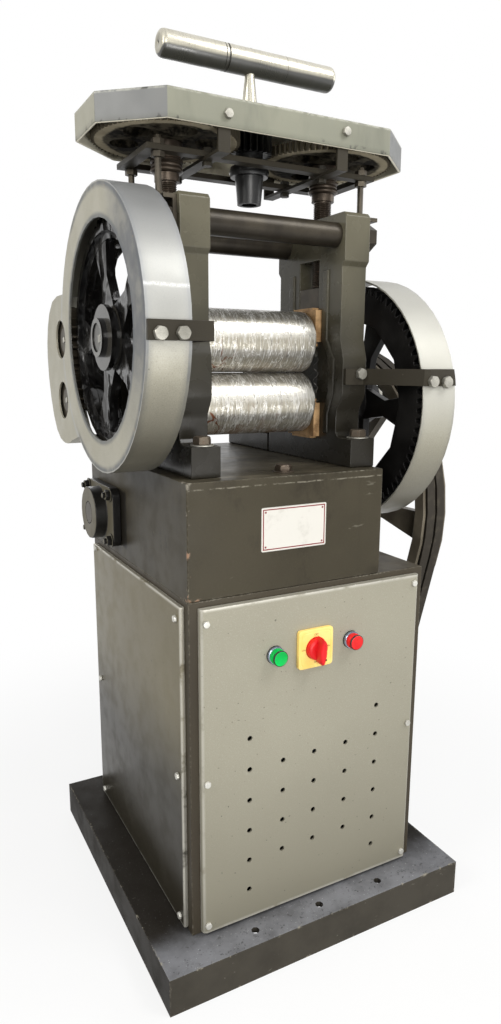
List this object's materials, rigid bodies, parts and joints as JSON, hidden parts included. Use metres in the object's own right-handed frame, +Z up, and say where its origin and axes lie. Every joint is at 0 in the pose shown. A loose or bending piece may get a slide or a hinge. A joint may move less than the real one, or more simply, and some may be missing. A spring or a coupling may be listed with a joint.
{
  "type": "jewellers rolling mill",
  "caption": "Floor-standing electric jewellers rolling mill: two rolls in housings, a top handle that sets their gap, guarded roll gears and a belt-driven pulley.",
  "frame": {"origin": "on the floor, under the middle of the whole mill's box", "axes": "+X along the rolls towards the belt pulley, +Y to the rear, +Z up; the switch panel faces -Y"},
  "size_m": [0.6376, 0.7546, 1.4453],
  "materials": {
    "belt": "black rubber, matt",
    "bronze": "cast bronze, machined",
    "brown": "browned steel",
    "casting": "dark brown-grey enamel over cast iron, satin",
    "cover": "grey-green enamel, chipped at the edges",
    "darkSteel": "dark turned steel, oiled",
    "frame": "dark olive-brown enamel, satin",
    "gear": "black gloss enamel over cast iron",
    "green": "green translucent lens",
    "guard": "pewter hammered paint",
    "motor": "blue-grey enamel",
    "nickel": "nickel plate, polished",
    "panel": "beige-grey hammered paint, satin",
    "plinth": "dark worn paint, matt",
    "pulley": "dark enamel over cast iron",
    "red": "red moulded plastic",
    "roll": "ground steel in clear film",
    "sidePanel": "dark grey enamel, glossy",
    "spring": "spring steel wire",
    "yellow": "yellow enamel, satin"
  },
  "bodies": {
    "stand": {"base_plinth": "plinth", "cabinet_shell": "frame", "front_panel": "panel", "left_panel": "sidePanel", "pedestal_box": "frame", "left_housing": "casting", "right_housing": "casting", "front_tie_rod": "darkSteel", "rear_tie_rod": "darkSteel", "left_flange_bearing": "gear", "right_flange_bearing": "gear", "left_lower_chock": "bronze", "right_lower_chock": "bronze", "left_front_spring": "spring", "left_rear_spring": "spring", "right_front_spring": "spring", "right_rear_spring": "spring", "motor": "motor", "inner_belt": "belt", "outer_belt": "belt", "left_rear_stand": "casting", "right_rear_stand": "casting", "left_guard": "guard", "right_guard": "guard", "left_guard_strap": "brown", "right_guard_strap": "brown", "support_frame": "brown", "left_front_stud": "darkSteel", "left_rear_stud": "darkSteel", "right_front_stud": "darkSteel", "right_rear_stud": "darkSteel", "gear_cover": "cover", "left_cover_strap": "brown", "right_cover_strap": "brown", "switch_plate": "yellow", "green_lamp": "green", "red_lamp": "red"},
    "countershaft_set": {"countershaft": "darkSteel", "v_pulley": "pulley"},
    "cross_shaft_set": {"cross_shaft": "darkSteel", "reduction_gear": "gear"},
    "idler": {"idler_shaft": "darkSteel"},
    "lower_roll_set": {"lower_roll": "roll", "right_bull_gear": "gear"},
    "upper_roll_set": {"upper_roll": "roll", "left_bull_gear": "gear"},
    "upper_carriage": {"left_upper_chock": "bronze", "right_upper_chock": "bronze", "left_pressure_block": "darkSteel", "right_pressure_block": "darkSteel", "idler_carrier": "casting"},
    "left_screw_set": {"left_screw": "brown", "left_screw_gear": "brown"},
    "right_screw_set": {"right_screw": "brown", "right_screw_gear": "brown"},
    "handle": {"handle_bar": "nickel", "spindle": "nickel", "drive_pinion": "gear"},
    "motor_rotor": {"motor_pulley": "pulley"},
    "switch": {"switch_knob": "red"}
  },
  "joints": [
    {"name": "pulley_spin", "type": "hinge", "parent": "stand", "child": "countershaft_set", "pos_m": [-0.0538, 0.0647, 0.69604], "axis": [1, 0, 0], "continuous": true},
    {"name": "cross_shaft_spin", "type": "hinge", "parent": "stand", "child": "cross_shaft_set", "pos_m": [-0.0538, 0.0747, 0.9033], "axis": [1, 0, 0], "continuous": true},
    {"name": "lower_roll_spin", "type": "hinge", "parent": "stand", "child": "lower_roll_set", "pos_m": [-0.0538, -0.1503, 0.9033], "axis": [1, 0, 0], "continuous": true},
    {"name": "motor_spin", "type": "hinge", "parent": "stand", "child": "motor_rotor", "pos_m": [-0.0538, -0.0713, 0.19], "axis": [1, 0, 0], "continuous": true},
    {"name": "handle_turn", "type": "hinge", "parent": "stand", "child": "handle", "pos_m": [-0.0538, -0.1503, 1.328], "axis": [0, 0, 1], "range_deg": [-1570.91, 78.55]},
    {"name": "upper_roll_lift", "type": "slide", "parent": "stand", "child": "upper_carriage", "axis": [0, 0, 1], "range_m": [-0.0004, 0.008], "deforming": ["left_front_spring", "left_rear_spring", "right_front_spring", "right_rear_spring"]},
    {"name": "left_screw_turn", "type": "hinge", "parent": "upper_carriage", "child": "left_screw_set", "pos_m": [-0.1948, -0.1503, 1.204], "axis": [0, 0, 1], "range_deg": [-24, 480]},
    {"name": "right_screw_turn", "type": "hinge", "parent": "upper_carriage", "child": "right_screw_set", "pos_m": [0.0872, -0.1503, 1.204], "axis": [0, 0, 1], "range_deg": [-24, 480]},
    {"name": "upper_roll_spin", "type": "hinge", "parent": "upper_carriage", "child": "upper_roll_set", "pos_m": [-0.0538, -0.1503, 1.0055], "axis": [1, 0, 0], "continuous": true},
    {"name": "idler_spin", "type": "hinge", "parent": "upper_carriage", "child": "idler", "pos_m": [-0.0538, 0.0747, 1.0083], "axis": [1, 0, 0], "continuous": true},
    {"name": "switch_turn", "type": "hinge", "parent": "stand", "child": "switch", "pos_m": [-0.0258, -0.3273, 0.523], "axis": [0, 1, 0], "range_deg": [-90, 0]}
  ],
  "couplings": [
    {"joint": "cross_shaft_spin", "follows": "pulley_spin", "ratio": -0.38333},
    {"joint": "lower_roll_spin", "follows": "pulley_spin", "ratio": 0.058974},
    {"joint": "idler_spin", "follows": "pulley_spin", "ratio": 0.38333},
    {"joint": "upper_roll_spin", "follows": "pulley_spin", "ratio": -0.058974},
    {"joint": "motor_spin", "follows": "pulley_spin", "ratio": 6.7174},
    {"joint": "left_screw_turn", "follows": "handle_turn", "ratio": -0.30556},
    {"joint": "right_screw_turn", "follows": "handle_turn", "ratio": -0.30556},
    {"joint": "upper_roll_lift", "follows": "handle_turn", "m_per_rad": -0.00029178}
  ]
}
